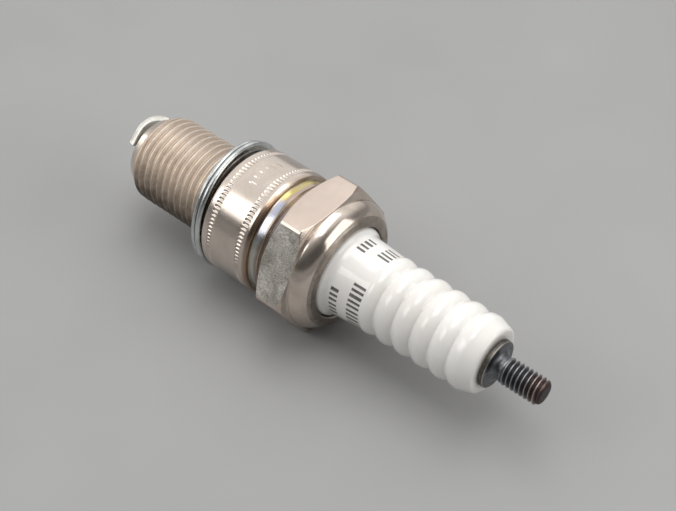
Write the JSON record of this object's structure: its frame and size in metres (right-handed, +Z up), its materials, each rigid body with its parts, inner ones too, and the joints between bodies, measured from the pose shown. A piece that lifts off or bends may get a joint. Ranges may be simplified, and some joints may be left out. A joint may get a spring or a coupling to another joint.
{
  "type": "spark plug",
  "caption": "Small-engine spark plug: threaded hexagon steel shell with captive gasket, ribbed white ceramic insulator, bent ground electrode and a bare threaded terminal stud.",
  "frame": {"origin": "centre of the shell's seat face, where the collar meets the threaded neck, on the plug's axis", "axes": "+X along the plug's axis towards the terminal, +Z up out of the hexagon flat opposite the one that the plug lies on"},
  "size_m": [0.077, 0.0236, 0.0208],
  "materials": {
    "plated_steel": "warm nickel plate, satin, heat-tinted in the shrink groove",
    "zinc_plated_steel": "cool bright zinc plate",
    "nickel_alloy": "bare nickel alloy, satin",
    "soft_iron": "bare, matte",
    "copper": "bare copper",
    "glazed_alumina": "white gloss glaze",
    "conductive_glass": "dark grey fused glass and metal powder",
    "resistor_body": "matte black",
    "blackened_steel": "black oxide, worn brown at the tip"
  },
  "bodies": {
    "plug": {"shell": "plated_steel", "ground_electrode": "nickel_alloy", "lower_seal_washer": "soft_iron", "upper_seal_ring": "soft_iron", "insulator": "glazed_alumina", "centre_electrode": "nickel_alloy", "copper_core": "copper", "lower_glass_seal": "conductive_glass", "resistor": "resistor_body", "upper_glass_seal": "conductive_glass", "terminal_stud": "blackened_steel"},
    "gasket": {"seat_gasket": "zinc_plated_steel"}
  },
  "joints": [
    {"name": "gasket_float", "type": "slide", "parent": "plug", "child": "gasket", "axis": [-1, 0, 0], "range_m": [0, 0.001]}
  ]
}
